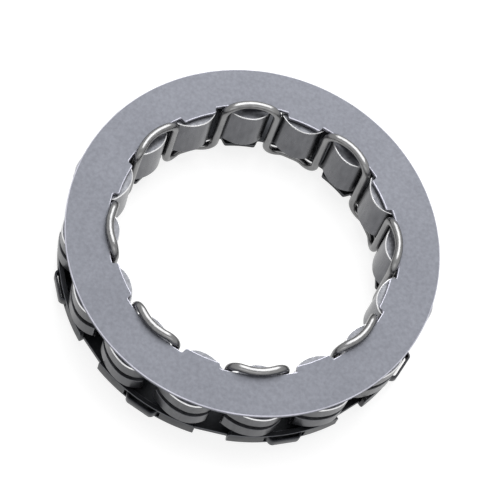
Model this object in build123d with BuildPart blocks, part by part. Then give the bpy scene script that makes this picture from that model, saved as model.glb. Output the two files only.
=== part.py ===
from build123d import *
import os
from math import acos, cos, hypot, radians, sin, sqrt, tan

# Races that the clutch runs between, and the number of sprags.
# Even stations have the wire underneath, odd stations have it on top.
inner_race_radius = 20.64
race_gap = 8.33
sprag_count = 16

# Sprag profile seen from above: radial by tangential, both crowns eccentric.
# A free sprag bites into the inner race and stays just off the outer one.
outer_crown_shy = 0.19
inner_crown_bite = 0.49
outer_crown_shift = 0.6
inner_crown_shift = -0.1
outer_lead_arc_spare = 0.645
outer_trail_arc_spare = 2.195
inner_lead_arc_spare = 1.75
inner_trail_arc_spare = 0.45
outer_lead_side_gap = 1.36
outer_trail_side_gap = 0.91
inner_lead_side_gap = 0.18
inner_trail_side_gap = 0.58
waist_depth = 0.25
sprag_corner = 0.4

# Sprag along its length: head with the spring groove, its inner side reaching lower
# behind the cup wall, and a slim shank standing in the cup
sprag_end_play = 0.14
head_wall_clearance = 0.8
heel_drop = 1.48
heel_wall_clearance = 1.4
upper_land_length = 2.7
groove_crest_rise = 1.0
groove_saddle_arc = 8.0
groove_side_clearance = 0.15
shank_inner_step = 1.85
shank_wall_clearance = 1.1
shank_side_step = 0.7
shank_corner = 0.8

# Cage: flat ring plate above, pressed cup below
cage_height = 11.7
plate_race_clearance = 0.52
plate_tab_race_clearance = 0.56
plate_thickness = 0.75
plate_tab_half_angle = 7.3
cup_race_clearance = 0.42
cup_tab_race_clearance = 0.51
cup_thickness = 0.75
cup_wall_height = 3.0
cup_tab_half_angle = 6.9
cup_outer_bend = 0.6
plate_tab_corner = 0.35
cup_tab_corner = 0.5
gap_depth = 0.9
gap_half_angle = 5.15
wall_corner = 0.4

# Bent wire that laces plate and cup together
wire_diameter = 1.25
wire_facets = 12
wire_race_clearance = 0.035
wire_top_bend = 1.3
wire_low_bend = 2.0
wire_bend_steps = 3
wire_shoulder_bend = 2.5
wire_shoulder_steps = 1
wire_top_arc_half_angle = 3.0
wire_low_arc_half_angle = 2.0
wire_leg_splay = 0.25
wire_seat_gap = 0.03
wire_notch_clearance = 0.18
wire_cup_clearance = 0.5
top_loop_overlap = 0.52
low_loop_overlap = 0.4
wire_butt_gap = 0.3

# Garter spring that lies in the sprag grooves
garter_coil_diameter = 1.1
garter_facets = 8
garter_seat_gap = 0.1

# Drag clips that stand out through windows in the cup wall
clip_thickness = 0.35
clip_height = 1.65
clip_floor_gap = 0.1
clip_wall_gap = 0.06
clip_race_press = 0.23
clip_crown_half_width = 2.1
clip_foot_start_angle = 6.1
clip_foot_end_angle = 8.6
window_half_width = 3.15
window_head_clearance = 0.08

# Places that follow from the sizes above
sprag_pitch = 360 / sprag_count
half_pitch_sine = sin(radians(sprag_pitch / 2))
outer_race_radius = inner_race_radius + race_gap
outer_crown_radius = outer_race_radius - outer_crown_shy
inner_crown_radius = inner_race_radius - inner_crown_bite
pivot_radius = (outer_crown_radius + inner_crown_radius) / 2
outer_lead_reach = outer_crown_radius * half_pitch_sine - outer_lead_side_gap
outer_trail_reach = outer_trail_side_gap - outer_crown_radius * half_pitch_sine
inner_lead_reach = inner_crown_radius * half_pitch_sine - inner_lead_side_gap
inner_trail_reach = inner_trail_side_gap - inner_crown_radius * half_pitch_sine
waist_half_width = -inner_trail_reach - waist_depth
plate_radius = outer_race_radius - plate_race_clearance
plate_tab_radius = inner_race_radius + plate_tab_race_clearance
cup_radius = outer_race_radius - cup_race_clearance
cup_tab_radius = inner_race_radius + cup_tab_race_clearance
wire_radius = wire_diameter / 2
wire_leg_radius = inner_race_radius + wire_race_clearance + wire_radius
cup_bottom_z = wire_diameter + wire_seat_gap
cup_floor_z = cup_bottom_z + cup_thickness
cup_wall_z = cup_bottom_z + cup_wall_height
cup_wall_inside = cup_radius - cup_thickness
plate_top_z = cup_bottom_z + cage_height
plate_under_z = plate_top_z - plate_thickness
plate_notch_radius = wire_leg_radius + wire_radius + wire_notch_clearance
cup_notch_radius = wire_leg_radius + wire_radius + wire_cup_clearance
head_top_z = plate_under_z - sprag_end_play
head_bottom_z = cup_wall_z + head_wall_clearance
heel_z = head_bottom_z - heel_drop
heel_outer_radius = cup_wall_inside - heel_wall_clearance
shank_bottom_z = cup_floor_z + sprag_end_play
shank_outer_radius = cup_wall_inside - shank_wall_clearance
shank_inner_radius = pivot_radius - shank_inner_step
shank_width = 2 * (waist_half_width - shank_side_step)
groove_crest_radius = pivot_radius + groove_crest_rise
groove_width = garter_coil_diameter + 2 * groove_side_clearance
groove_bottom_z = head_top_z - upper_land_length - groove_width
garter_radius = groove_crest_radius + garter_seat_gap + garter_coil_diameter / 2
top_loop_radius = plate_notch_radius - wire_radius + top_loop_overlap
low_loop_radius = cup_notch_radius - wire_radius + low_loop_overlap
top_loop_z = plate_top_z + wire_seat_gap + wire_radius
low_loop_z = wire_radius
wire_foot_radius = wire_leg_radius + wire_leg_splay
clip_bottom_z = cup_floor_z + clip_floor_gap
clip_foot_radius = cup_wall_inside - clip_wall_gap - clip_thickness / 2
clip_crown_radius = outer_race_radius + clip_race_press - clip_thickness / 2
window_height = clip_floor_gap + clip_height + window_head_clearance

os.makedirs("parts", exist_ok=True)


def around(radius, angle, z=0):
    """Point at a radius, angle and height of the ring."""
    turn = radians(angle)
    return (radius * cos(turn), radius * sin(turn), z)


def station_plane(angle, z):
    """Level plane at height z whose X axis points outward at the given angle."""
    return Plane(origin=(0, 0, z), x_dir=around(1, angle), z_dir=(0, 0, 1))


def pie(radius, half_angle):
    """Sector of a disc about the ring axis, centred on the X axis."""
    with BuildSketch() as sector:
        with BuildLine():
            Line((0, 0), around(radius, -half_angle))
            ThreePointArc(around(radius, -half_angle), around(radius, 0), around(radius, half_angle))
            Line(around(radius, half_angle), (0, 0))
        make_face()
    return sector.sketch


def crown_arc(crown_radius, side, shift, reach, spare):
    """Arc of a crown from its summit to its reach. Side is 1 for the outer crown, -1 for the inner."""
    arc = abs(reach - shift) + spare

    def crown_point(across):
        return (crown_radius - side * (arc - sqrt(arc * arc - (across - shift) ** 2)), across)

    return ThreePointArc((crown_radius, shift), crown_point((shift + reach) / 2), crown_point(reach))


def bend(before, corner, after, radius, steps):
    """Points of a tangent bend where a straight run turns at a corner."""
    back = (Vector(*before) - Vector(*corner)).normalized()
    ahead = (Vector(*after) - Vector(*corner)).normalized()
    half_opening = acos(back.dot(ahead)) / 2
    tangent_length = radius / tan(half_opening)
    centre = Vector(*corner) + (back + ahead).normalized() * (radius / sin(half_opening))
    first = Vector(*corner) + back * tangent_length - centre
    last = Vector(*corner) + ahead * tangent_length - centre
    turn = acos(first.dot(last) / radius**2)
    points = []
    for step in range(steps + 1):
        part_turn = turn * step / steps
        points.append(centre + (first * sin(turn - part_turn) + last * sin(part_turn)) / sin(turn))
    return points


# Ring plate, with tabs over the even sprags and bays for the wire over the odd ones
with BuildPart() as ring_plate:
    with BuildSketch(Plane.XY.offset(plate_under_z)) as ring_sketch:
        Circle(plate_radius)
        Circle(plate_tab_radius, mode=Mode.SUBTRACT)
        with PolarLocations(0, sprag_count // 2, start_angle=sprag_pitch):
            add(pie(plate_notch_radius, sprag_pitch - plate_tab_half_angle), mode=Mode.SUBTRACT)
        bore_corners = ring_sketch.vertices().filter_by(
            lambda v: hypot(v.X, v.Y) < plate_notch_radius + plate_tab_corner
        )
        fillet(bore_corners, plate_tab_corner)
    extrude(amount=plate_thickness)
ring_plate.part.label = "ring_plate"
export_step(ring_plate.part, "parts/ring_plate.step")

# Cup, with tabs under the odd sprags and a rim that stands up in short walls
with BuildPart() as cup:
    with BuildSketch(Plane.XZ) as section:
        with BuildLine():
            Polyline(
                (cup_tab_radius, cup_bottom_z),
                (cup_radius, cup_bottom_z),
                (cup_radius, cup_wall_z),
                (cup_wall_inside, cup_wall_z),
                (cup_wall_inside, cup_floor_z),
                (cup_tab_radius, cup_floor_z),
                close=True,
            )
        make_face()
        heel = section.vertices().sort_by_distance((cup_radius, cup_bottom_z))[0]
        fillet(heel, cup_outer_bend)
    revolve(axis=Axis.Z)
    with BuildSketch(Plane.XY.offset(cup_bottom_z)):
        with PolarLocations(0, sprag_count // 2):
            add(pie(cup_notch_radius, sprag_pitch - cup_tab_half_angle))
    extrude(amount=cup_thickness, mode=Mode.SUBTRACT)
    bore_corners = cup.edges().filter_by(Axis.Z).filter_by(
        lambda e: hypot(e.center().X, e.center().Y) < cup_notch_radius + cup_tab_corner
    )
    fillet(bore_corners, cup_tab_corner)
    with BuildSketch(Plane.XY.offset(cup_bottom_z)):
        with PolarLocations(0, sprag_count // 2, start_angle=sprag_pitch / 2):
            add(pie(cup_radius + cup_thickness, gap_half_angle))
        Circle(cup_radius - gap_depth, mode=Mode.SUBTRACT)
    extrude(amount=cup_wall_height, mode=Mode.SUBTRACT)
    wall_ends = cup.edges().group_by(Axis.Z)[-1].filter_by(GeomType.LINE)
    fillet(wall_ends, wall_corner)
    with Locations((0, 0, cup_floor_z + window_height / 2)):
        with PolarLocations(cup_radius, sprag_count // 2, start_angle=1.5 * sprag_pitch):
            Box(3 * cup_thickness, 2 * window_half_width, window_height, mode=Mode.SUBTRACT)
cup.part.label = "cup"
export_step(cup.part, "parts/cup.step")

# Retaining wire: under the cup at even stations, over the plate at odd ones, legs between
wire_turns = []
for station in range(sprag_count + 1):
    angle = 270 + station * sprag_pitch
    if station % 2 == 0:
        loop_radius = low_loop_radius
        loop_z = low_loop_z
        corner_radius = wire_foot_radius
        arc_half_angle = wire_low_arc_half_angle
        corner_bend = (wire_low_bend, wire_bend_steps)
    else:
        loop_radius = top_loop_radius
        loop_z = top_loop_z
        corner_radius = wire_leg_radius
        arc_half_angle = wire_top_arc_half_angle
        corner_bend = (wire_top_bend, wire_bend_steps)
    shoulder_radius = loop_radius / cos(radians(arc_half_angle))
    shoulder_bend = (wire_shoulder_bend, wire_shoulder_steps)
    arriving = (angle - sprag_pitch / 2, angle - 2 * arc_half_angle)
    leaving = (angle + sprag_pitch / 2, angle + 2 * arc_half_angle)
    if station > 0:
        wire_turns.append((around(corner_radius, arriving[0], loop_z), corner_bend))
        wire_turns.append((around(shoulder_radius, arriving[1], loop_z), shoulder_bend))
    if 0 < station < sprag_count:
        wire_turns.append((around(shoulder_radius, angle, loop_z), (loop_radius, 1)))
    if station < sprag_count:
        wire_turns.append((around(shoulder_radius, leaving[1], loop_z), shoulder_bend))
        wire_turns.append((around(corner_radius, leaving[0], loop_z), corner_bend))
wire_start = (wire_butt_gap / 2, -low_loop_radius, low_loop_z)
wire_end = (-wire_butt_gap / 2, -low_loop_radius, low_loop_z)
corners = [wire_start] + [corner for corner, _ in wire_turns] + [wire_end]
wire_points = [wire_start]
for before, (corner, (radius, steps)), after in zip(corners, wire_turns, corners[2:]):
    wire_points += bend(before, corner, after, radius, steps)
wire_points.append(wire_end)
with BuildPart() as retaining_wire:
    with BuildLine() as wire_path:
        Polyline(*wire_points)
    with BuildSketch(wire_path.line ^ 0):
        RegularPolygon(wire_radius, wire_facets)
    sweep(path=wire_path.line, transition=Transition.RIGHT)
retaining_wire.part.label = "retaining_wire"
export_step(retaining_wire.part, "parts/retaining_wire.step")

# Garter spring that draws all the sprags inward and tilts them
with BuildPart() as garter_spring:
    with BuildSketch(Plane.XZ):
        with Locations((garter_radius, groove_bottom_z + groove_width / 2)):
            RegularPolygon(garter_coil_diameter / 2, garter_facets)
    revolve(axis=Axis.Z)
garter_spring.part.label = "garter_spring"
export_step(garter_spring.part, "parts/garter_spring.step")

# Sprags, each turned about its own upright line between the two crowns
for number in range(1, sprag_count + 1):
    angle = (number - 1) * sprag_pitch
    with BuildPart() as sprag:
        with BuildSketch(station_plane(angle, heel_z)) as profile:
            with BuildLine():
                outer_trail = crown_arc(
                    outer_crown_radius,
                    1,
                    outer_crown_shift,
                    outer_trail_reach,
                    outer_trail_arc_spare,
                )
                outer_lead = crown_arc(
                    outer_crown_radius,
                    1,
                    outer_crown_shift,
                    outer_lead_reach,
                    outer_lead_arc_spare,
                )
                inner_trail = crown_arc(
                    inner_crown_radius,
                    -1,
                    inner_crown_shift,
                    inner_trail_reach,
                    inner_trail_arc_spare,
                )
                inner_lead = crown_arc(
                    inner_crown_radius,
                    -1,
                    inner_crown_shift,
                    inner_lead_reach,
                    inner_lead_arc_spare,
                )
                ThreePointArc(outer_trail @ 1, (pivot_radius, -waist_half_width), inner_trail @ 1)
                ThreePointArc(outer_lead @ 1, (pivot_radius, waist_half_width), inner_lead @ 1)
            make_face()
            chamfer([v for v in profile.vertices() if abs(v.Y) > waist_half_width], sprag_corner)
        extrude(amount=head_top_z - heel_z)
        with BuildSketch(station_plane(angle, heel_z)):
            with Locations((heel_outer_radius, 0)):
                Rectangle(
                    outer_crown_radius,
                    2 * (outer_lead_reach - outer_trail_reach),
                    align=(Align.MIN, Align.CENTER),
                )
        extrude(amount=head_bottom_z - heel_z, mode=Mode.SUBTRACT)
        with BuildSketch(station_plane(angle, groove_bottom_z)):
            with Locations((outer_crown_radius, 0)):
                Rectangle(
                    2 * (outer_crown_radius - pivot_radius), 2 * (outer_lead_reach - outer_trail_reach)
                )
            with Locations((groove_crest_radius - groove_saddle_arc, 0)):
                Circle(groove_saddle_arc, mode=Mode.SUBTRACT)
        extrude(amount=groove_width, mode=Mode.SUBTRACT)
        with BuildSketch(station_plane(angle, shank_bottom_z)) as foot:
            with Locations(((shank_inner_radius + shank_outer_radius) / 2, 0)):
                Rectangle(shank_outer_radius - shank_inner_radius, shank_width)
            chamfer(foot.vertices(), shank_corner)
        extrude(amount=heel_z - shank_bottom_z)
    sprag.part.label = f"sprag_{number:02d}"
    export_step(sprag.part, f"parts/sprag_{number:02d}.step")

# Drag clips, one half way between each two gaps of the cup wall
for number in range(1, sprag_count // 2 + 1):
    angle = (2 * number - 0.5) * sprag_pitch
    with BuildPart() as drag_clip:
        with BuildSketch(station_plane(angle, clip_bottom_z)):
            with BuildLine() as clip_line:
                Polyline(
                    around(clip_foot_radius, -clip_foot_end_angle),
                    around(clip_foot_radius, -clip_foot_start_angle),
                    (clip_crown_radius, -clip_crown_half_width),
                    (clip_crown_radius, clip_crown_half_width),
                    around(clip_foot_radius, clip_foot_start_angle),
                    around(clip_foot_radius, clip_foot_end_angle),
                )
            trace(line_width=clip_thickness)
        extrude(amount=clip_height)
    drag_clip.part.label = f"drag_clip_{number}"
    export_step(drag_clip.part, f"parts/drag_clip_{number}.step")
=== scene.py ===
import bpy
import bmesh
from math import atan2, ceil, cos, degrees, hypot, pi, radians, sin, sqrt, tan
from mathutils import Matrix, Vector


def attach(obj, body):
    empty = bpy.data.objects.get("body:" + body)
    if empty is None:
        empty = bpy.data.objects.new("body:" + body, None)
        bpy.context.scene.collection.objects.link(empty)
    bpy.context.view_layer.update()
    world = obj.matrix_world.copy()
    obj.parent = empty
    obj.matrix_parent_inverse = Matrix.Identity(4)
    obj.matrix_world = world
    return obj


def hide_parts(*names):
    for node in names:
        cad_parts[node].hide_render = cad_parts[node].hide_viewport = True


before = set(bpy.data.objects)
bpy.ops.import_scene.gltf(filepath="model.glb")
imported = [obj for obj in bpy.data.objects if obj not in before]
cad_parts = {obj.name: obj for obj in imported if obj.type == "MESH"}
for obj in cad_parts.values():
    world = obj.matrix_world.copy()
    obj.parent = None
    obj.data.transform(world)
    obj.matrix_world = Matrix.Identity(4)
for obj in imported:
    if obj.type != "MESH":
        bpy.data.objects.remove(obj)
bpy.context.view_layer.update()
mm = 0.001
weld = 0.001 * mm  # vertices closer than this are one
slack = 0.01 * mm  # allowed when vertices are picked by their place
stations = 16  # sprags round the ring
pitch = 360 / stations
print("frame loaded")

# hand tools

def putDown():
    # object mode, nothing selected
    if bpy.context.object and bpy.context.object.mode != "OBJECT":
        bpy.ops.object.mode_set(mode="OBJECT")
    bpy.ops.object.select_all(action="DESELECT")


def pickUp(piece):
    putDown()
    piece.select_set(True)
    bpy.context.view_layer.objects.active = piece


def openMesh(piece):
    pickUp(piece)
    bpy.ops.object.mode_set(mode="EDIT")


def closeMesh():
    bpy.ops.object.mode_set(mode="OBJECT")


def settle():
    # place and turn go into the mesh, the object stays at the origin
    bpy.ops.object.transform_apply(location=True, rotation=True, scale=True)


def takePiece(name):
    # the primitive just added becomes a piece
    piece = bpy.context.object
    piece.name = name
    piece.data.name = name
    settle()
    return piece


def pickAll():
    bpy.ops.mesh.select_all(action="SELECT")


def pick(piece, kind, test):
    # selects the vertices, edges or faces that pass the test, and nothing else
    bpy.ops.mesh.select_mode(type=kind)
    bpy.ops.mesh.select_all(action="DESELECT")
    mesh = bmesh.from_edit_mesh(piece.data)
    for item in {"VERT": mesh.verts, "EDGE": mesh.edges, "FACE": mesh.faces}[kind]:
        if test(item):
            item.select_set(True)
    mesh.select_flush_mode()
    bmesh.update_edit_mesh(piece.data)


def liesAt(edge, *heights):
    # true for an edge that lies level at one of the heights
    return any(all(abs(v.co.z - height * mm) < slack for v in edge.verts) for height in heights)


def pushOut(step):
    bpy.ops.mesh.extrude_region_move(TRANSFORM_OT_translate={"value": step})


def swing(angle, centre, axis, steps):
    # without a window spin turns the other way, hence the minus
    bpy.ops.mesh.spin(steps=steps, angle=-angle, center=centre, axis=axis)


def fullTurn(steps):
    bpy.ops.mesh.spin(steps=steps, angle=2 * pi, center=(0, 0, 0), axis=(0, 0, 1))


def faceOut():
    pickAll()
    bpy.ops.mesh.remove_doubles(threshold=weld)
    bpy.ops.mesh.normals_make_consistent(inside=False)


def startPoint(name, point):
    # a piece of one vertex, to be drawn out from there
    putDown()
    bpy.ops.mesh.primitive_plane_add(size=mm, location=point)
    piece = takePiece(name)
    openMesh(piece)
    bpy.ops.mesh.select_mode(type="VERT")
    pickAll()
    bpy.ops.mesh.merge(type="CENTER")
    return piece


def applyLast(piece):
    bpy.ops.object.modifier_apply(modifier=piece.modifiers[-1].name)


def roundEdges(piece, width, angle=38, material=-1):
    # the new faces keep their finish, or take the slot that is given
    pickUp(piece)
    bpy.ops.object.modifier_add(type="BEVEL")
    edges = piece.modifiers[-1]
    edges.width = width
    edges.segments = 2
    edges.limit_method = "ANGLE"
    edges.angle_limit = radians(angle)
    edges.use_clamp_overlap = False
    edges.material = material
    applyLast(piece)


def cutAway(piece, cutter):
    pickUp(piece)
    bpy.ops.object.modifier_add(type="BOOLEAN")
    cut = piece.modifiers[-1]
    cut.operation = "DIFFERENCE"
    cut.solver = "EXACT"
    cut.object = cutter
    applyLast(piece)
    pickUp(cutter)
    bpy.ops.object.delete()


def smoothPiece(piece, angle=20):
    pickUp(piece)
    bpy.ops.object.shade_smooth_by_angle(angle=radians(angle))


def coat(piece, *finishes):
    # given before the bevels, so that they can put their faces into another slot
    for finish in finishes:
        piece.data.materials.append(finish)


def seat(piece, body, node):
    # the finished piece stands for its node and moves with its body
    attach(piece, body)
    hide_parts(node)
    print("made", piece.name, len(piece.data.polygons), "faces")


def copyRound(master, count, first, seatCopy):
    # copies of the master all round the axis, and then the master goes
    for number in range(1, count + 1):
        pickUp(master)
        bpy.ops.object.duplicate(linked=False)
        copied = bpy.context.object
        copied.rotation_euler = (0, 0, radians(first + 360 / count * (number - 1)))
        settle()
        seatCopy(copied, number)
    pickUp(master)
    bpy.ops.object.delete()


def turnedPoint(radius, angle, z=0.0):
    return Vector((radius * cos(radians(angle)), radius * sin(radians(angle)), z))


# finishes

def steelFinish(name, look):
    finish = bpy.data.materials.new(name)
    finish.use_nodes = True
    nodes = finish.node_tree.nodes
    links = finish.node_tree.links
    shader = nodes["Principled BSDF"]
    shader.inputs["Metallic"].default_value = look["metallic"]
    place = nodes.new("ShaderNodeTexCoord")

    def noise(scale, detail, stretch=(1, 1, 1)):
        mapping = nodes.new("ShaderNodeMapping")
        mapping.inputs["Scale"].default_value = stretch
        links.new(place.outputs["Object"], mapping.inputs["Vector"])
        texture = nodes.new("ShaderNodeTexNoise")
        texture.inputs["Scale"].default_value = scale
        texture.inputs["Detail"].default_value = detail
        links.new(mapping.outputs["Vector"], texture.inputs["Vector"])
        return texture.outputs["Fac"]

    def spread(value, low, high):
        # the noise hardly leaves the middle, so that is what gets spread
        remap = nodes.new("ShaderNodeMapRange")
        remap.inputs["From Min"].default_value = 0.3
        remap.inputs["From Max"].default_value = 0.7
        remap.inputs["To Min"].default_value = low
        remap.inputs["To Max"].default_value = high
        links.new(value, remap.inputs["Value"])
        return remap.outputs["Result"]

    # fine grain over slow clouds, from the dark to the light colour
    grain = noise(look["grainScale"], detail=4, stretch=look["grainStretch"])
    cloud = noise(look["cloudScale"], detail=3)
    blend = nodes.new("ShaderNodeMath")
    blend.operation = "ADD"
    links.new(spread(grain, 0.0, look["grainShare"]), blend.inputs[0])
    links.new(spread(cloud, 0.0, 1 - look["grainShare"]), blend.inputs[1])
    colour = nodes.new("ShaderNodeValToRGB")
    colour.color_ramp.elements[0].color = (*look["dark"], 1)
    colour.color_ramp.elements[1].color = (*look["light"], 1)
    links.new(blend.outputs["Value"], colour.inputs["Fac"])
    links.new(colour.outputs["Color"], shader.inputs["Base Color"])
    links.new(spread(cloud, look["rough"][0], look["rough"][1]), shader.inputs["Roughness"])
    bump = nodes.new("ShaderNodeBump")
    bump.inputs["Strength"].default_value = look["bump"]
    bump.inputs["Distance"].default_value = look["bumpDepth"] * mm
    links.new(grain, bump.inputs["Height"])
    links.new(bump.outputs["Normal"], shader.inputs["Normal"])
    return finish


plateSteel = steelFinish("plateSteel", {
    "metallic": 0.3, "dark": (0.128, 0.134, 0.158), "light": (0.188, 0.196, 0.227),
    "rough": (0.52, 0.62), "bump": 0.3, "bumpDepth": 0.02,
    "grainScale": 1900, "grainStretch": (1, 1, 1), "grainShare": 0.7, "cloudScale": 90})
# painted highlight: the plate's rounded edges get a much lighter, more metallic colour than the
# plate, for a bright rim line
plateEdgeHighlight = steelFinish("plateEdgeHighlight", {
    "metallic": 0.9, "dark": (0.4, 0.4, 0.46), "light": (0.6, 0.6, 0.68),
    "rough": (0.34, 0.44), "bump": 0.2, "bumpDepth": 0.02,
    "grainScale": 1800, "grainStretch": (1, 1, 1), "grainShare": 0.5, "cloudScale": 300})
cupSteel = steelFinish("cupSteel", {
    "metallic": 0.7, "dark": (0.012, 0.013, 0.015), "light": (0.03, 0.032, 0.037),
    "rough": (0.36, 0.5), "bump": 0.3, "bumpDepth": 0.02,
    "grainScale": 2200, "grainStretch": (1, 1, 0.25), "grainShare": 0.5, "cloudScale": 260})
# painted highlight: the cup's rounded edges get a lighter colour than the cup, for a light line
# along them
cupEdgeHighlight = steelFinish("cupEdgeHighlight", {
    "metallic": 0.9, "dark": (0.08, 0.084, 0.095), "light": (0.16, 0.165, 0.18),
    "rough": (0.32, 0.44), "bump": 0.2, "bumpDepth": 0.02,
    "grainScale": 1800, "grainStretch": (1, 1, 1), "grainShare": 0.5, "cloudScale": 300})
wireSteel = steelFinish("wireSteel", {
    "metallic": 1.0, "dark": (0.16, 0.16, 0.163), "light": (0.25, 0.25, 0.25),
    "rough": (0.25, 0.32), "bump": 0.1, "bumpDepth": 0.01,
    "grainScale": 1500, "grainStretch": (1, 1, 0.1), "grainShare": 0.5, "cloudScale": 400})
spragSteel = steelFinish("spragSteel", {
    "metallic": 0.9, "dark": (0.08, 0.082, 0.09), "light": (0.15, 0.152, 0.164),
    "rough": (0.2, 0.3), "bump": 0.15, "bumpDepth": 0.01,
    "grainScale": 1600, "grainStretch": (1, 1, 0.2), "grainShare": 0.5, "cloudScale": 300})
# painted shade: the sprags' outer lands get a darker colour than the rest of the sprag
spragLandShade = steelFinish("spragLandShade", {
    "metallic": 0.9, "dark": (0.035, 0.036, 0.04), "light": (0.085, 0.087, 0.095),
    "rough": (0.26, 0.36), "bump": 0.15, "bumpDepth": 0.01,
    "grainScale": 1600, "grainStretch": (1, 1, 0.2), "grainShare": 0.5, "cloudScale": 300})
# painted highlight: the rounded top edge of each sprag gets a near-white colour, for a bright line
spragEdgeHighlight = steelFinish("spragEdgeHighlight", {
    "metallic": 1.0, "dark": (0.6, 0.6, 0.61), "light": (0.85, 0.85, 0.86),
    "rough": (0.2, 0.3), "bump": 0.1, "bumpDepth": 0.01,
    "grainScale": 2000, "grainStretch": (1, 1, 1), "grainShare": 0.5, "cloudScale": 350})
# painted shade: the sprags' end faces and groove walls get their own colour, which runs darker
# than the sprag's, for the shade under the plate and in the groove
spragEndShade = steelFinish("spragEndShade", {
    "metallic": 0.7, "dark": (0.06, 0.062, 0.07), "light": (0.17, 0.174, 0.19),
    "rough": (0.34, 0.48), "bump": 0.2, "bumpDepth": 0.015,
    "grainScale": 1800, "grainStretch": (1, 1, 1), "grainShare": 0.6, "cloudScale": 400})
clipSteel = steelFinish("clipSteel", {
    "metallic": 0.4, "dark": (0.006, 0.007, 0.01), "light": (0.02, 0.022, 0.03),
    "rough": (0.3, 0.45), "bump": 0.2, "bumpDepth": 0.01,
    "grainScale": 2200, "grainStretch": (1, 1, 0.3), "grainShare": 0.5, "cloudScale": 400})
coilSteel = steelFinish("coilSteel", {
    "metallic": 0.9, "dark": (0.025, 0.025, 0.028), "light": (0.08, 0.08, 0.085),
    "rough": (0.3, 0.42), "bump": 0.15, "bumpDepth": 0.01,
    "grainScale": 2500, "grainStretch": (1, 1, 1), "grainShare": 0.5, "cloudScale": 500})
print("finishes ready")

# ring plate

plateShape = {
    "outer": 28.45, "bay": 22.105, "tab": 21.2, "tabHalfAngle": 7.3, "middle": 0,
    "corner": 0.35, "bottom": 12.23, "top": 12.98, "steps": 1440, "edge": 0.15}


def shapeBore(piece, shape):
    # tabs are drawn in from the bay circle, with rounded corners at both ends of their sides
    stepAngle = 360 / shape["steps"]
    stepWidth = radians(stepAngle) * shape["bay"]
    edgeStep = round(shape["tabHalfAngle"] / stepAngle)
    corner = shape["corner"]
    cornerSteps = int(corner / stepWidth)

    def stepFromEdge(point):
        angle = degrees(atan2(point.y, point.x)) - shape["middle"]
        fromMiddle = abs((angle + pitch) % (2 * pitch) - pitch)
        return round(fromMiddle / stepAngle) - edgeStep

    moves = []
    for step in range(-cornerSteps, cornerSteps + 1):
        along = step * stepWidth
        if step <= 0:
            radius = shape["tab"] + corner - sqrt(corner ** 2 - (along + corner) ** 2)
        else:
            radius = shape["bay"] - corner + sqrt(corner ** 2 - (corner - along) ** 2)
        moves.append((radius, step))
    # each vertex keeps its step, counted while all of the bore is still on the bay circle
    taken = {}
    mesh = bmesh.from_edit_mesh(piece.data)
    for v in mesh.verts:
        if v.co.xy.length < shape["bay"] * mm + slack:
            taken[v.index] = stepFromEdge(v.co)
    for radius, step in moves + [(shape["tab"], None)]:
        pick(piece, "VERT", lambda v: v.index in taken and (
            taken[v.index] == step if step is not None else taken[v.index] < -cornerSteps))
        size = radius / shape["bay"]
        bpy.ops.transform.resize(value=(size, size, 1), center_override=(0, 0, 0))


def makeRingPlate(shape):
    putDown()
    bpy.ops.mesh.primitive_circle_add(
        vertices=shape["steps"], radius=shape["bay"] * mm, location=(0, 0, shape["bottom"] * mm))
    plate = takePiece("ringPlate")
    coat(plate, plateSteel, plateEdgeHighlight)
    openMesh(plate)
    pickAll()
    pushOut((0, 0, 0))
    wide = shape["outer"] / shape["bay"]
    bpy.ops.transform.resize(value=(wide, wide, 1), center_override=(0, 0, 0))
    shapeBore(plate, shape)
    pickAll()
    pushOut((0, 0, (shape["top"] - shape["bottom"]) * mm))
    faceOut()
    closeMesh()
    # the rounded edges take slot 1, the painted highlight
    roundEdges(plate, shape["edge"] * mm, material=1)
    smoothPiece(plate)
    return plate


seat(makeRingPlate(plateShape), "cage", "ring_plate")

# cup, with eight gaps in its wall and a window for each clip

cupShape = {
    "outer": 28.55, "thickness": 0.75, "bay": 22.425, "tab": 21.15, "tabHalfAngle": 6.9,
    "middle": 22.5, "corner": 0.5, "bottom": 1.28, "floor": 2.03, "wallTop": 4.28,
    "heel": 0.6, "heelSteps": 6, "nook": 0.12, "nookSteps": 3, "steps": 720, "edge": 0.06,
    "gapHalf": 2.53, "gapRadius": 27.53, "gapDepth": 1.6, "gapSpare": 0.3,
    "gapMiddle": 11.25, "wallCorner": 0.4, "wallCornerSteps": 5,
    "windowHalf": 3.15, "windowTop": 3.86, "windowDepth": 2.4, "windowMiddle": 33.75}


def cutterRing(cutter, middle):
    # turned to its first place, then repeated at every second station
    pickUp(cutter)
    cutter.rotation_euler = (0, 0, radians(middle))
    settle()
    openMesh(cutter)
    pickAll()
    bpy.ops.mesh.spin(
        steps=stations // 2 - 1, angle=radians(360 - 2 * pitch),
        center=(0, 0, 0), axis=(0, 0, 1), dupli=True)
    faceOut()
    closeMesh()
    return cutter


def makeCupShell(shape):
    # section drawn from the bore round to the bore again, then turned about the axis
    inside = shape["outer"] - shape["thickness"]
    heel = shape["heel"]
    nook = shape["nook"]
    heelPlace = ((shape["outer"] - heel) * mm, 0, (shape["bottom"] + heel) * mm)
    nookPlace = ((inside - nook) * mm, 0, (shape["floor"] + nook) * mm)
    cup = startPoint("pressedCup", (shape["bay"] * mm, 0, shape["bottom"] * mm))
    coat(cup, cupSteel, cupEdgeHighlight)
    pushOut(((shape["outer"] - heel - shape["bay"]) * mm, 0, 0))
    swing(-pi / 2, heelPlace, (0, 1, 0), shape["heelSteps"])
    pushOut((0, 0, (shape["wallTop"] - shape["bottom"] - heel) * mm))
    pushOut((-shape["thickness"] * mm, 0, 0))
    pushOut((0, 0, -(shape["wallTop"] - shape["floor"] - nook) * mm))
    swing(pi / 2, nookPlace, (0, 1, 0), shape["nookSteps"])
    pushOut(((shape["bay"] - inside + nook) * mm, 0, 0))
    pushOut((0, 0, (shape["bottom"] - shape["floor"]) * mm))
    pickAll()
    bpy.ops.mesh.remove_doubles(threshold=weld)
    fullTurn(shape["steps"])
    faceOut()
    shapeBore(cup, shape)
    closeMesh()
    return cup


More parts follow.
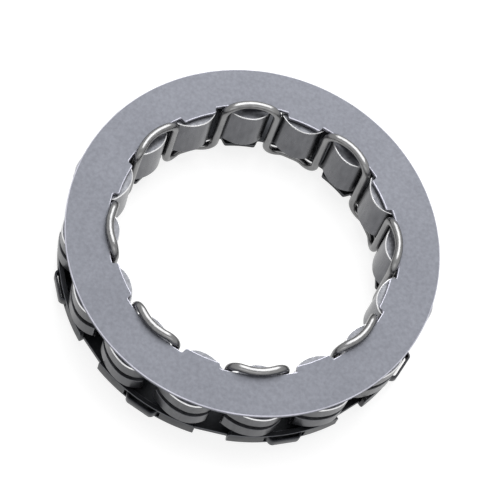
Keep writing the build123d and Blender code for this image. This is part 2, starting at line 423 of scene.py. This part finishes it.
def makeGapCutter(shape):
    # flared at the top, so that the wall's corners come out round
    x = shape["gapRadius"] * mm
    half = shape["gapHalf"] * mm
    corner = shape["wallCorner"] * mm
    spare = shape["gapSpare"] * mm
    low = (shape["bottom"] - shape["gapSpare"]) * mm
    high = shape["wallTop"] * mm
    gap = startPoint("gapCutter", (x, -half, low))
    pushOut((0, 0, high - corner - low))
    swing(pi / 2, (x, -half - corner, high - corner), (1, 0, 0), shape["wallCornerSteps"])
    pushOut((0, 0, spare))
    pushOut((0, 2 * (half + corner), 0))
    pushOut((0, 0, -spare))
    swing(pi / 2, (x, half + corner, high - corner), (1, 0, 0), shape["wallCornerSteps"])
    pushOut((0, 0, low - high + corner))
    pushOut((0, -2 * half, 0))
    pickAll()
    bpy.ops.mesh.remove_doubles(threshold=weld)
    bpy.ops.mesh.edge_face_add()
    pushOut((shape["gapDepth"] * mm, 0, 0))
    faceOut()
    closeMesh()
    return cutterRing(gap, shape["gapMiddle"])


def makeWindowCutter(shape):
    putDown()
    tall = shape["windowTop"] - shape["floor"]
    bpy.ops.mesh.primitive_cube_add(
        size=mm, scale=(shape["windowDepth"], 2 * shape["windowHalf"], tall),
        location=(shape["outer"] * mm, 0, (shape["floor"] + tall / 2) * mm))
    return cutterRing(takePiece("windowCutter"), shape["windowMiddle"])


def makeCup(shape):
    cup = makeCupShell(shape)
    cutAway(cup, makeGapCutter(shape))
    cutAway(cup, makeWindowCutter(shape))
    # the rounded edges take slot 1, the painted highlight
    roundEdges(cup, shape["edge"] * mm, material=1)
    smoothPiece(cup)
    return cup


seat(makeCup(cupShape), "cage", "cup")

# retaining wire, from the middle of one low loop all the way round

wireShape = {
    "radius": 0.625, "sides": 20, "start": 270, "butt": 0.3, "stepTurn": 8, "endRound": 0.12,
    "smooth": 50,
    "low": {"leg": 21.55, "loop": 22.2, "z": 0.625, "legBend": 2.0, "arcHalf": 2.0,
            "shoulderBend": 2.5},
    "top": {"leg": 21.3, "apex": 22.3, "z": 13.635, "legBend": 1.9, "apexBend": 7.2}}


def wireCorners(shape):
    # corners of the path, each with the radius of its bend
    low = shape["low"]
    top = shape["top"]
    shoulder = low["loop"] / cos(radians(low["arcHalf"]))
    lowBends = [(-2 * low["arcHalf"], shoulder, low["shoulderBend"]),
                (0, shoulder, low["loop"]),
                (2 * low["arcHalf"], shoulder, low["shoulderBend"])]
    topBends = [(0, top["apex"], top["apexBend"])]
    corners = []
    for station in range(stations + 1):
        loop, bends = (low, lowBends) if station % 2 == 0 else (top, topBends)
        ends = [(turn, loop["leg"], loop["legBend"]) for turn in (-pitch / 2, pitch / 2)]
        for turn, radius, bend in ends[:1] + bends + ends[1:]:
            # half of the first loop and half of the last
            if (station == 0 and turn <= 0) or (station == stations and turn >= 0):
                continue
            angle = shape["start"] + station * pitch + turn
            corners.append((turnedPoint(radius, angle, loop["z"]), bend))
    return corners


def makeWire(shape):
    corners = wireCorners(shape)
    here = Vector((shape["butt"] / 2, -shape["low"]["loop"], shape["low"]["z"]))
    end = Vector((-here.x, here.y, here.z))
    putDown()
    bpy.ops.mesh.primitive_circle_add(
        vertices=shape["sides"], radius=shape["radius"] * mm,
        location=here * mm, rotation=(0, pi / 2, 0))
    wire = takePiece("bentWire")
    coat(wire, wireSteel)
    openMesh(wire)
    pickAll()
    places = [here] + [corner for corner, bend in corners] + [end]
    for before, (corner, bend), after in zip(places, corners, places[2:]):
        ahead = (corner - before).normalized()
        onward = (after - corner).normalized()
        turn = ahead.angle(onward)
        start = corner - ahead * bend * tan(turn / 2)
        centre = start + (onward - ahead * ahead.dot(onward)).normalized() * bend
        pushOut((start - here) * mm)
        swing(turn, centre * mm, ahead.cross(onward).normalized(),
              max(1, ceil(degrees(turn) / shape["stepTurn"])))
        here = corner + onward * bend * tan(turn / 2)
    pushOut((end - here) * mm)
    # both cut ends closed and slightly rounded
    for side in (1, -1):
        pick(wire, "VERT", lambda v: v.is_boundary and v.co.x * side > 0)
        bpy.ops.mesh.edge_face_add()
    faceOut()
    pick(wire, "FACE", lambda f: len(f.verts) > 4)
    bpy.ops.mesh.region_to_loop()
    bpy.ops.mesh.bevel(offset=shape["endRound"] * mm, segments=2)
    closeMesh()
    smoothPiece(wire, shape["smooth"])
    return wire


seat(makeWire(wireShape), "cage", "retaining_wire")

# garter spring

coilShape = {
    "ring": 26.115, "coil": 0.55, "z": 8.69, "turns": 410, "sides": 10, "groove": 0.09,
    "smooth": 60}


def makeCoil(shape):
    # close-wound: every second ring of vertices lies in the groove between two turns
    putDown()
    bpy.ops.mesh.primitive_circle_add(
        vertices=shape["sides"], radius=shape["coil"] * mm,
        location=(shape["ring"] * mm, 0, shape["z"] * mm), rotation=(pi / 2, 0, 0))
    coil = takePiece("garterCoil")
    coat(coil, coilSteel)
    openMesh(coil)
    pickAll()
    fullTurn(2 * shape["turns"])
    faceOut()
    step = pi / shape["turns"]
    pick(coil, "VERT", lambda v: round(atan2(v.co.y, v.co.x) / step) % 2 == 1)
    bpy.ops.transform.shrink_fatten(value=-shape["groove"] * mm)
    closeMesh()
    smoothPiece(coil, shape["smooth"])
    return coil


seat(makeCoil(coilShape), "cage", "garter_spring")

# sprags, each a head with two crowns on a slim foot

spragShape = {
    # crowns: summit as x and y, then radius and reach on either side
    "outerSummit": (28.78, 0.6), "innerSummit": (20.15, -0.1),
    "lead": {"outer": (4.3, 4.255), "inner": (5.6, 3.751), "side": 1},
    "trail": {"outer": (7.5, -4.705), "inner": (3.7, -3.351), "side": -1},
    "waist": (24.465, 3.101), "corner": 0.55, "stepLength": 0.3, "stepTurn": 10,
    "heel": 3.6, "bottom": 5.08, "top": 12.09, "rim": 0.15,
    "heelOuter": 26.4, "heelCutter": (6, 14), "heelSpare": 1,
    "grooveBottom": 7.99, "grooveTop": 9.39, "grooveCrest": 25.465, "grooveRim": 0.06,
    "saddle": 8.0, "saddleSides": 96, "saddleReach": 1.7, "saddleSpare": 0.05,
    "footBottom": 2.17, "footInner": 22.615, "footOuter": 26.7, "footHalf": 2.4,
    "footSink": 0.1, "footCorner": 0.9, "footCornerSteps": 6, "footRim": 0.1}


def circleThrough(a, b, c):
    first = a.length_squared
    second = b.length_squared
    third = c.length_squared
    d = 2 * (a.x * (b.y - c.y) + b.x * (c.y - a.y) + c.x * (a.y - b.y))
    x = (first * (b.y - c.y) + second * (c.y - a.y) + third * (a.y - b.y)) / d
    y = (first * (c.x - b.x) + second * (a.x - c.x) + third * (b.x - a.x)) / d
    centre = Vector((x, y))
    return centre, (a - centre).length


def nestled(firstCentre, firstRadius, secondCentre, secondRadius, near):
    # where two circles cross, on the side of the given point
    gap = secondCentre - firstCentre
    along = (firstRadius ** 2 - secondRadius ** 2 + gap.length_squared) / (2 * gap.length)
    aside = sqrt(firstRadius ** 2 - along ** 2)
    unit = gap.normalized()
    crossings = [firstCentre + unit * along + Vector((-unit.y, unit.x)) * aside * side
                 for side in (1, -1)]
    return min(crossings, key=lambda point: (point - near).length)


def spragOutline(shape):
    # arcs in order, counterclockwise from the outer summit, each as centre, start and end
    corner = shape["corner"]
    outerSummit = Vector(shape["outerSummit"])
    innerSummit = Vector(shape["innerSummit"])

    def crown(summit, arc, side):
        radius, reach = arc
        centre = summit - Vector((side * radius, 0))
        end = Vector((centre.x + side * sqrt(radius ** 2 - (reach - summit.y) ** 2), reach))
        return centre, radius, end

    def onCircle(centre, radius, toward):
        return centre + (toward - centre).normalized() * radius

    arcs = []
    for flank in (shape["lead"], shape["trail"]):
        outer, outerRadius, outerEnd = crown(outerSummit, flank["outer"], 1)
        inner, innerRadius, innerEnd = crown(innerSummit, flank["inner"], -1)
        waist = Vector((shape["waist"][0], shape["waist"][1] * flank["side"]))
        hollow, hollowRadius = circleThrough(outerEnd, waist, innerEnd)
        outerCorner = nestled(outer, outerRadius - corner, hollow, hollowRadius + corner, outerEnd)
        innerCorner = nestled(inner, innerRadius - corner, hollow, hollowRadius + corner, innerEnd)
        ontoOuter = onCircle(outer, outerRadius, outerCorner)
        ontoInner = onCircle(inner, innerRadius, innerCorner)
        offOuter = onCircle(hollow, hollowRadius, outerCorner)
        offInner = onCircle(hollow, hollowRadius, innerCorner)
        half = [(outer, outerSummit, ontoOuter), (outerCorner, ontoOuter, offOuter),
                (hollow, offOuter, offInner), (innerCorner, offInner, ontoInner),
                (inner, ontoInner, innerSummit)]
        if flank["side"] < 0:
            half = [(centre, end, start) for centre, start, end in reversed(half)]
        arcs += half
    return arcs


def drawOutline(name, shape):
    arcs = spragOutline(shape)
    z = shape["heel"] * mm
    outline = startPoint(name, (arcs[0][1].x * mm, arcs[0][1].y * mm, z))
    for centre, start, end in arcs:
        spoke = start - centre
        turn = atan2(spoke.cross(end - centre), spoke.dot(end - centre))
        steps = ceil(max(abs(turn) * spoke.length / shape["stepLength"],
                         abs(degrees(turn)) / shape["stepTurn"]))
        swing(turn, (centre.x * mm, centre.y * mm, z), (0, 0, 1), steps)
    pickAll()
    bpy.ops.mesh.remove_doubles(threshold=2 * weld)
    bpy.ops.mesh.edge_face_add()
    return outline


def makeHeelCutter(shape):
    # the outer side ends above the cup's wall
    deep, wide = shape["heelCutter"]
    tall = shape["bottom"] - shape["heel"] + shape["heelSpare"]
    putDown()
    bpy.ops.mesh.primitive_cube_add(
        size=mm, scale=(deep, wide, tall),
        location=((shape["heelOuter"] + deep / 2) * mm, 0, (shape["bottom"] - tall / 2) * mm))
    return takePiece("heelCutter")


def makeGrooveCutter(shape, saddleX):
    # ring with a round hole, which leaves the saddle that the garter spring lies on
    reach = shape["saddleReach"]
    putDown()
    bpy.ops.mesh.primitive_circle_add(
        vertices=shape["saddleSides"], radius=shape["saddle"] * mm,
        location=(saddleX * mm, 0, shape["grooveBottom"] * mm))
    groove = takePiece("grooveCutter")
    openMesh(groove)
    pickAll()
    pushOut((0, 0, 0))
    bpy.ops.transform.resize(value=(reach, reach, 1), center_override=(saddleX * mm, 0, 0))
    pickAll()
    pushOut((0, 0, (shape["grooveTop"] - shape["grooveBottom"]) * mm))
    faceOut()
    closeMesh()
    return groove


def makeFoot(shape):
    # it stands in the cup and reaches a little way into the head
    length = shape["footOuter"] - shape["footInner"]
    tall = shape["heel"] + shape["footSink"] - shape["footBottom"]
    putDown()
    bpy.ops.mesh.primitive_cube_add(
        size=mm, scale=(length, 2 * shape["footHalf"], tall), location=(
            (shape["footInner"] + length / 2) * mm, 0, (shape["footBottom"] + tall / 2) * mm))
    foot = takePiece("spragFoot")
    coat(foot, spragSteel)
    openMesh(foot)
    # upright corners first, then the rim at the bottom
    pick(foot, "EDGE", lambda e: abs(e.verts[0].co.z - e.verts[1].co.z) > 0.5 * tall * mm)
    bpy.ops.mesh.bevel(offset=shape["footCorner"] * mm, segments=shape["footCornerSteps"])
    pick(foot, "EDGE", lambda e: liesAt(e, shape["footBottom"]))
    bpy.ops.mesh.bevel(offset=shape["footRim"] * mm, segments=2)
    closeMesh()
    return foot


def makeSprag(shape):
    sprag = drawOutline("spragMaster", shape)
    # slots: sprag steel, painted highlight on the top edge, painted shade on the ends and groove
    # walls, painted shade on the outer lands
    coat(sprag, spragSteel, spragEdgeHighlight, spragEndShade, spragLandShade)
    pushOut((0, 0, (shape["top"] - shape["heel"]) * mm))
    faceOut()
    closeMesh()
    cutAway(sprag, makeHeelCutter(shape))
    saddleX = shape["grooveCrest"] - shape["saddle"]
    cutAway(sprag, makeGrooveCutter(shape, saddleX))
    # broken edges at the ends and along the groove; only the top one gets the painted highlight
    openMesh(sprag)
    for heights, slot in (((shape["heel"], shape["bottom"]), 0), ((shape["top"],), 1)):
        pick(sprag, "EDGE", lambda e: liesAt(e, *heights))
        bpy.ops.mesh.bevel(
            offset=shape["rim"] * mm, segments=2, material=slot, clamp_overlap=False)
    pastSaddle = (shape["saddle"] + shape["saddleSpare"]) * mm
    pick(sprag, "EDGE", lambda e: liesAt(e, shape["grooveBottom"], shape["grooveTop"]) and all(
        hypot(v.co.x - saddleX * mm, v.co.y) > pastSaddle for v in e.verts))
    bpy.ops.mesh.bevel(offset=shape["grooveRim"] * mm, segments=2, clamp_overlap=False)
    # painted shade: ends and groove walls get the darker colour, and so do the lands outside
    for slot, test in ((2, lambda f: abs(f.normal.z) > 0.99),
                       (3, lambda f: f.normal.x > 0.5 and abs(f.normal.z) < 0.1)):
        pick(sprag, "FACE", test)
        bpy.context.object.active_material_index = slot
        bpy.ops.object.material_slot_assign()
    closeMesh()
    foot = makeFoot(shape)
    pickUp(sprag)
    foot.select_set(True)
    bpy.ops.object.join()
    smoothPiece(sprag)
    return sprag


def seatSprag(sprag, number):
    sprag.name = "lockingSprag%02d" % number
    sprag.data.name = sprag.name
    seat(sprag, "sprag_%02d" % number, "sprag_%02d" % number)


copyRound(makeSprag(spragShape), stations, 0, seatSprag)

# drag clips, bent strips with their feet inside the cup's wall

clipShape = {
    "foot": 27.565, "footStart": 6.1, "footEnd": 8.6, "crown": 29.025, "crownHalf": 2.1,
    "thickness": 0.35, "bottom": 2.13, "top": 3.78, "bend": 0.32, "bendSteps": 4,
    "edge": 0.05, "edgeAngle": 50, "smooth": 35, "middle": 33.75}


def makeClip(shape):
    route = [turnedPoint(shape["foot"], -shape["footEnd"]),
             turnedPoint(shape["foot"], -shape["footStart"]),
             Vector((shape["crown"], -shape["crownHalf"], 0))]
    route += [Vector((p.x, -p.y, 0)) for p in reversed(route)]
    clip = startPoint("clipMaster", (route[0] + Vector((0, 0, shape["bottom"]))) * mm)
    coat(clip, clipSteel)
    for before, after in zip(route, route[1:]):
        pushOut((after - before) * mm)
    pickAll()
    pushOut((0, 0, (shape["top"] - shape["bottom"]) * mm))
    pick(clip, "EDGE", lambda e: len(e.link_faces) == 2)
    bpy.ops.mesh.bevel(offset=shape["bend"] * mm, segments=shape["bendSteps"])
    closeMesh()
    pickUp(clip)
    bpy.ops.object.modifier_add(type="SOLIDIFY")
    clip.modifiers[-1].thickness = shape["thickness"] * mm
    clip.modifiers[-1].offset = 0
    applyLast(clip)
    openMesh(clip)
    faceOut()
    closeMesh()
    roundEdges(clip, shape["edge"] * mm, angle=shape["edgeAngle"])
    smoothPiece(clip, shape["smooth"])
    return clip


def seatClip(clip, number):
    clip.name = "springClip%d" % number
    clip.data.name = clip.name
    seat(clip, "cage", "drag_clip_%d" % number)


copyRound(makeClip(clipShape), stations // 2, clipShape["middle"], seatClip)

# camera

# tilt and roll in radians, shifts in pixels of the picture
view = {
    "aim": (0, 0, 12.97 * mm), "distance": 283.34 * mm, "tilt": 0.4734979, "roll": -0.4113574,
    "lens": 136.8, "sensor": 36, "near": 0.01, "far": 10,
    "pictureWidth": 500, "shiftX": -5.496, "shiftY": -14.094}


def addCamera(shape):
    data = bpy.data.cameras.new("camera")
    camera = bpy.data.objects.new("camera", data)
    bpy.context.scene.collection.objects.link(camera)
    data.lens = shape["lens"]
    data.sensor_width = shape["sensor"]
    data.clip_start = shape["near"]
    data.clip_end = shape["far"]
    data.shift_x = shape["shiftX"] / shape["pictureWidth"]
    data.shift_y = shape["shiftY"] / shape["pictureWidth"]
    tilt = shape["tilt"]
    roll = shape["roll"]
    forward = Vector((0, sin(tilt), -cos(tilt)))
    right = Vector((1, 0, 0))
    up = right.cross(forward)
    across = cos(roll) * right - sin(roll) * up
    upright = sin(roll) * right + cos(roll) * up
    place = Vector(shape["aim"]) - forward * shape["distance"]
    camera.matrix_world = Matrix((
        (across.x, upright.x, -forward.x, place.x),
        (across.y, upright.y, -forward.y, place.y),
        (across.z, upright.z, -forward.z, place.z),
        (0, 0, 0, 1)))
    bpy.context.scene.camera = camera


addCamera(view)

# floor and light

# lamps and the floor's size in metres, its drop in mm, power in watts
stageShape = {
    "floorSize": 3.0, "floorDrop": 0.02, "floorGrey": 0.35, "floorRough": 0.9,
    "floorGlow": 0.82, "worldStrength": 0.25}
keyLamp = {"place": (-0.02, 0.22, 0.4), "size": (0.36, 0.5), "power": 2.5}
sideLamp = {"place": (0.06, -0.24, 0.2), "size": (0.3, 0.12), "power": 0.12}


def seenStrength(nodes, links, unseen, seen):
    # one strength where camera, mirrored or refracted rays see it, another as light
    rays = nodes.new("ShaderNodeLightPath")
    mixed = rays.outputs["Is Camera Ray"]
    for kind in ("Is Glossy Ray", "Is Transmission Ray"):
        either = nodes.new("ShaderNodeMath")
        either.operation = "MAXIMUM"
        links.new(mixed, either.inputs[0])
        links.new(rays.outputs[kind], either.inputs[1])
        mixed = either.outputs["Value"]
    strength = nodes.new("ShaderNodeMapRange")
    strength.inputs["To Min"].default_value = unseen
    strength.inputs["To Max"].default_value = seen
    links.new(mixed, strength.inputs["Value"])
    return strength.outputs["Result"]


def addFloor(shape):
    putDown()
    bpy.ops.mesh.primitive_plane_add(
        size=shape["floorSize"], location=(0, 0, -shape["floorDrop"] * mm))
    floor = takePiece("floor")
    paper = bpy.data.materials.new("paper")
    paper.use_nodes = True
    nodes = paper.node_tree.nodes
    links = paper.node_tree.links
    shader = nodes["Principled BSDF"]
    grey = shape["floorGrey"]
    shader.inputs["Base Color"].default_value = (grey, grey, grey, 1)
    shader.inputs["Roughness"].default_value = shape["floorRough"]
    glow = nodes.new("ShaderNodeEmission")
    glow.inputs["Color"].default_value = (1, 1, 1, 1)
    links.new(seenStrength(nodes, links, 0.0, shape["floorGlow"]), glow.inputs["Strength"])
    total = nodes.new("ShaderNodeAddShader")
    links.new(shader.outputs["BSDF"], total.inputs[0])
    links.new(glow.outputs["Emission"], total.inputs[1])
    links.new(total.outputs["Shader"], nodes["Material Output"].inputs["Surface"])
    floor.data.materials.append(paper)


def addWorld(shape):
    world = bpy.data.worlds.new("room")
    bpy.context.scene.world = world
    world.use_nodes = True
    nodes = world.node_tree.nodes
    links = world.node_tree.links
    back = nodes["Background"]
    back.inputs["Color"].default_value = (1, 1, 1, 1)
    links.new(seenStrength(nodes, links, shape["worldStrength"], 1.0), back.inputs["Strength"])


def addLamp(name, shape):
    # a soft box that looks at the middle of the floor
    data = bpy.data.lights.new(name, "AREA")
    data.shape = "RECTANGLE"
    data.size, data.size_y = shape["size"]
    data.energy = shape["power"]
    lamp = bpy.data.objects.new(name, data)
    bpy.context.scene.collection.objects.link(lamp)
    lamp.location = shape["place"]
    lamp.rotation_euler = (-Vector(shape["place"])).to_track_quat("-Z", "Y").to_euler()


addFloor(stageShape)
addWorld(stageShape)
addLamp("keyLamp", keyLamp)
addLamp("sideLamp", sideLamp)
bpy.context.scene.view_settings.view_transform = "Standard"
print("stage set")
